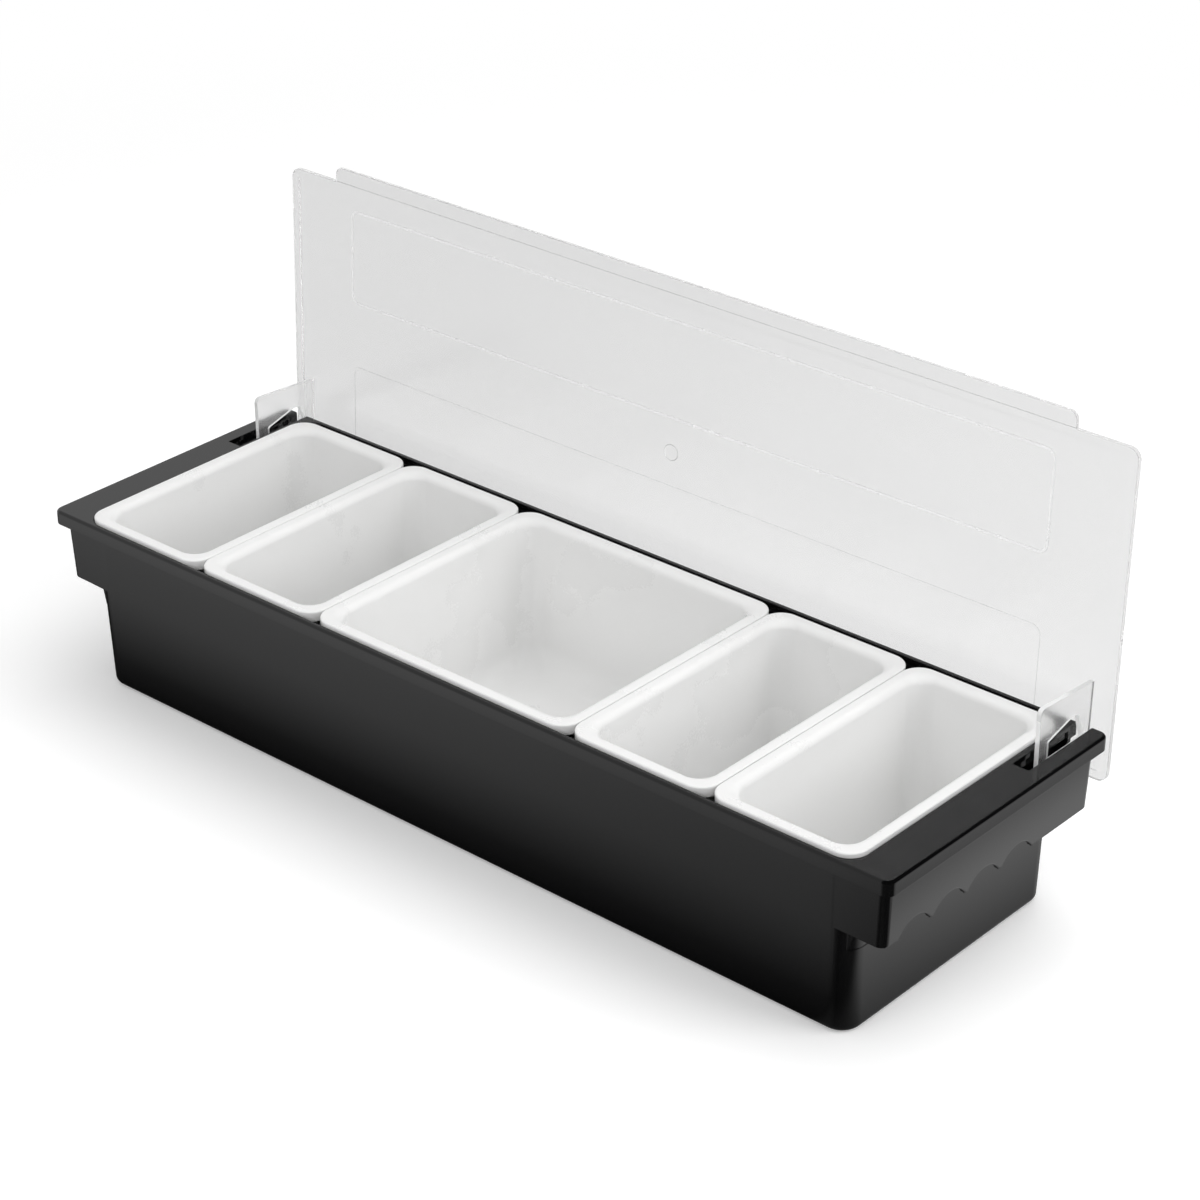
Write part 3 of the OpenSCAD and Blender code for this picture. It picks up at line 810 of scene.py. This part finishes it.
def makeFloor(s):
    deselectAll()
    bpy.ops.mesh.primitive_circle_add(vertices=96, radius=s["floorRadius"], fill_type="NGON",
                                      location=(0, 0, -s["floorDrop"]))
    bpy.ops.object.transform_apply(location=True, rotation=True, scale=True)
    floor = bpy.context.object
    floor.name = "floor"
    material = bpy.data.materials.new("paleFloor")
    material.use_nodes = True
    tree = material.node_tree
    tree.nodes.clear()
    output = tree.nodes.new("ShaderNodeOutputMaterial")
    where = tree.nodes.new("ShaderNodeTexCoord")
    spot = tree.nodes.new("ShaderNodeSeparateXYZ")
    link(tree, where, "Object", spot, "Vector")
    path = tree.nodes.new("ShaderNodeLightPath")

    # to the eye: painted floor with its shadow, lifted, and pure white further out
    paint, seenPaint = (tree.nodes.new("ShaderNodeBsdfDiffuse") for colour in range(2))
    paint.inputs["Color"].default_value = (*s["floorColour"], 1)
    seenPaint.inputs["Color"].default_value = (*s["floorSeen"], 1)
    lift = tree.nodes.new("ShaderNodeAddShader")
    tree.links.new(seenPaint.outputs[0], lift.inputs[0])
    tree.links.new(addGlow(tree, s["floorGlow"]).outputs[0], lift.inputs[1])
    reach = tree.nodes.new("ShaderNodeVectorMath")
    reach.operation = "LENGTH"
    link(tree, where, "Object", reach, 0)
    seen = mixShaders(tree, addRamp(tree, (reach, "Value"), *s["fade"]), lift, addGlow(tree, 1.0))

    # through the lid: a painted even tone, a little darker to the left
    lidView = addMath(tree, "MULTIPLY", addRamp(tree, (spot, "X"), *s["lidViewFrom"], *s["lidView"]),
                      addRamp(tree, (spot, "Y"), *s["lidNear"]))
    lidView = addGlow(tree, lidView)

    # in the gloss: painted levels, bright away from the tray, painted dark close to it and in a painted dark patch
    # before the right corner
    span = s["levelSpan"]
    inFront = addMath(tree, "SUBTRACT", addMath(tree, "MULTIPLY", (spot, "Y"), -1), caddy["bodyY"] * mm)
    frontSide = addLevels(tree, addMath(tree, "DIVIDE", inFront, span * mm), span, s["frontLevels"])
    frontSide = addMath(tree, "MULTIPLY", frontSide, addRamp(tree, (spot, "X"), *s["frontFade"]))
    start = (caddy["bodyX"] + s["endFrom"]) * mm
    beyondEnd = addMath(tree, "SUBTRACT", (spot, "X"), start)
    endSide = addLevels(tree, addMath(tree, "DIVIDE", beyondEnd, span * mm), span, s["endLevels"])
    endSide = addMath(tree, "MULTIPLY", endSide, addRamp(tree, (spot, "Y"), *s["endFade"]))
    endSide = addMath(tree, "MULTIPLY", endSide, addRamp(tree, (spot, "X"), start - s["endSoft"] * mm, start))
    bright = addMath(tree, "MAXIMUM", frontSide, endSide)
    # a painted dark patch, seen only in reflections, with no card there
    fromCornerX = addMath(tree, "SUBTRACT", (spot, "X"), s["paintedDarkAt"][0])
    fromCornerY = addMath(tree, "SUBTRACT", (spot, "Y"), s["paintedDarkAt"][1])
    angle = addMath(tree, "ARCTAN2", fromCornerY, fromCornerX)
    paintedDarkStart = addRamp(tree, angle, *(math.radians(v) for v in s["paintedDarkStart"]))
    beyond = addMath(tree, "SUBTRACT", addMath(tree, "MULTIPLY", fromCornerY, cosDeg(s["paintedDarkTurn"])),
                     addMath(tree, "MULTIPLY", fromCornerX, sinDeg(s["paintedDarkTurn"])))
    paintedDarkEnd = addRamp(tree, beyond, *s["paintedDarkEnd"], 1.0, 0.0)
    paintedDark = addMath(tree, "MULTIPLY", addMath(tree, "MULTIPLY", paintedDarkStart, paintedDarkEnd), s["paintedDarkStrength"])
    outsidePaintedDark = addMath(tree, "SUBTRACT", 1.0, paintedDark)
    mirrored = addGlow(tree, addMath(tree, "MULTIPLY", bright, outsidePaintedDark))

    shown = mixShaders(tree, (path, "Is Transmission Ray"), seen, lidView)
    either = addMath(tree, "MAXIMUM", (path, "Is Camera Ray"), (path, "Is Transmission Ray"))
    lit = mixShaders(tree, (path, "Is Glossy Ray"), paint, mirrored)
    direct = mixShaders(tree, either, lit, shown)
    bounced = addMath(tree, "MINIMUM", (path, "Diffuse Depth"), 1.0)
    link(tree, mixShaders(tree, bounced, direct, paint), "Shader", output, "Surface")
    floor.data.materials.append(material)


def makeWorld(s):
    # white to the eye, a painted darker tone through the lid, even for the light, bright on the left in the gloss
    world = bpy.data.worlds.new("studio")
    bpy.context.scene.world = world
    world.use_nodes = True
    tree = world.node_tree
    tree.nodes.clear()
    output = tree.nodes.new("ShaderNodeOutputWorld")
    where = tree.nodes.new("ShaderNodeTexCoord")
    spot = tree.nodes.new("ShaderNodeSeparateXYZ")
    link(tree, where, "Generated", spot, "Vector")
    path = tree.nodes.new("ShaderNodeLightPath")

    def backdrop(strength):
        node = tree.nodes.new("ShaderNodeBackground")
        if isinstance(strength, tuple):
            tree.links.new(strength[0].outputs[strength[1]], node.inputs["Strength"])
        else:
            node.inputs["Strength"].default_value = strength
        return node

    mirrored = backdrop(addLevels(tree, addMath(tree, "MULTIPLY", (spot, "X"), -1), 1, s["skyLevels"]))
    lidView = backdrop(addRamp(tree, (spot, "X"), *s["skyViewFrom"], *s["lidView"]))
    throughLid = mixShaders(tree, addRamp(tree, (spot, "Z"), *s["horizon"]), lidView, mirrored)
    even = backdrop(s["ambient"])
    lit = mixShaders(tree, (path, "Is Glossy Ray"), even, mirrored)
    lit = mixShaders(tree, (path, "Is Transmission Ray"), lit, throughLid)
    bounced = addMath(tree, "MINIMUM", (path, "Diffuse Depth"), 1.0)
    lit = mixShaders(tree, bounced, lit, even)
    link(tree, mixShaders(tree, (path, "Is Camera Ray"), lit, backdrop(1.0)), "Shader", output, "Surface")


lamps = {
    "overhead": {"at": (0.15, 0.35, 1.35), "aim": (0, 0, 0.05), "size": (1.5, 1.1), "power": 8.0},
    "side": {"at": (1.25, 0.45, 0.75), "aim": (0, 0, 0.05), "size": (0.8, 0.8), "power": 6.5},
    "front": {"at": (0.25, -1.35, 0.85), "aim": (0, 0, 0.05), "size": (1.6, 0.9), "power": 6.5},
}


def addLamp(name, s):
    data = bpy.data.lights.new(name, "AREA")
    data.shape = "RECTANGLE"
    data.size, data.size_y = s["size"]
    data.energy = s["power"]
    lamp = bpy.data.objects.new(name, data)
    bpy.context.scene.collection.objects.link(lamp)
    lamp.visible_glossy = False                             # the gloss shows the painted levels alone
    lamp.location = s["at"]
    lamp.rotation_euler = (Vector(s["aim"]) - Vector(s["at"])).to_track_quat("-Z", "Y").to_euler()


makeFloor(studio)
makeWorld(studio)
for name, settings in lamps.items():
    addLamp(name, settings)
print("studio ready")

# camera, fitted to the photograph

view = {"azimuth": 41.606, "elevation": 28.276, "roll": -0.384, "distance": 1469.15,
        "target": (17.17, 15.82, 93.70), "lens": 99.23, "sensor": 36, "clip": (0.05, 20)}


def makeCamera(s):
    data = bpy.data.cameras.new("camera")
    data.lens = s["lens"]
    data.sensor_width = s["sensor"]
    data.clip_start, data.clip_end = s["clip"]
    camera = bpy.data.objects.new("camera", data)
    bpy.context.scene.collection.objects.link(camera)
    a, e, roll = (math.radians(s[k]) for k in ("azimuth", "elevation", "roll"))
    back = Vector((math.sin(a) * math.cos(e), -math.cos(a) * math.cos(e), math.sin(e)))
    right = Vector((math.cos(a), math.sin(a), 0))
    up = back.cross(right)
    turnedRight = right * math.cos(roll) + up * math.sin(roll)
    turnedUp = up * math.cos(roll) - right * math.sin(roll)
    place = (Vector(s["target"]) + back * s["distance"]) * mm
    matrix = Matrix((turnedRight, turnedUp, back)).transposed().to_4x4()
    matrix.translation = place
    camera.matrix_world = matrix
    bpy.context.scene.camera = camera


makeCamera(view)
bpy.context.scene.view_settings.view_transform = "Standard"
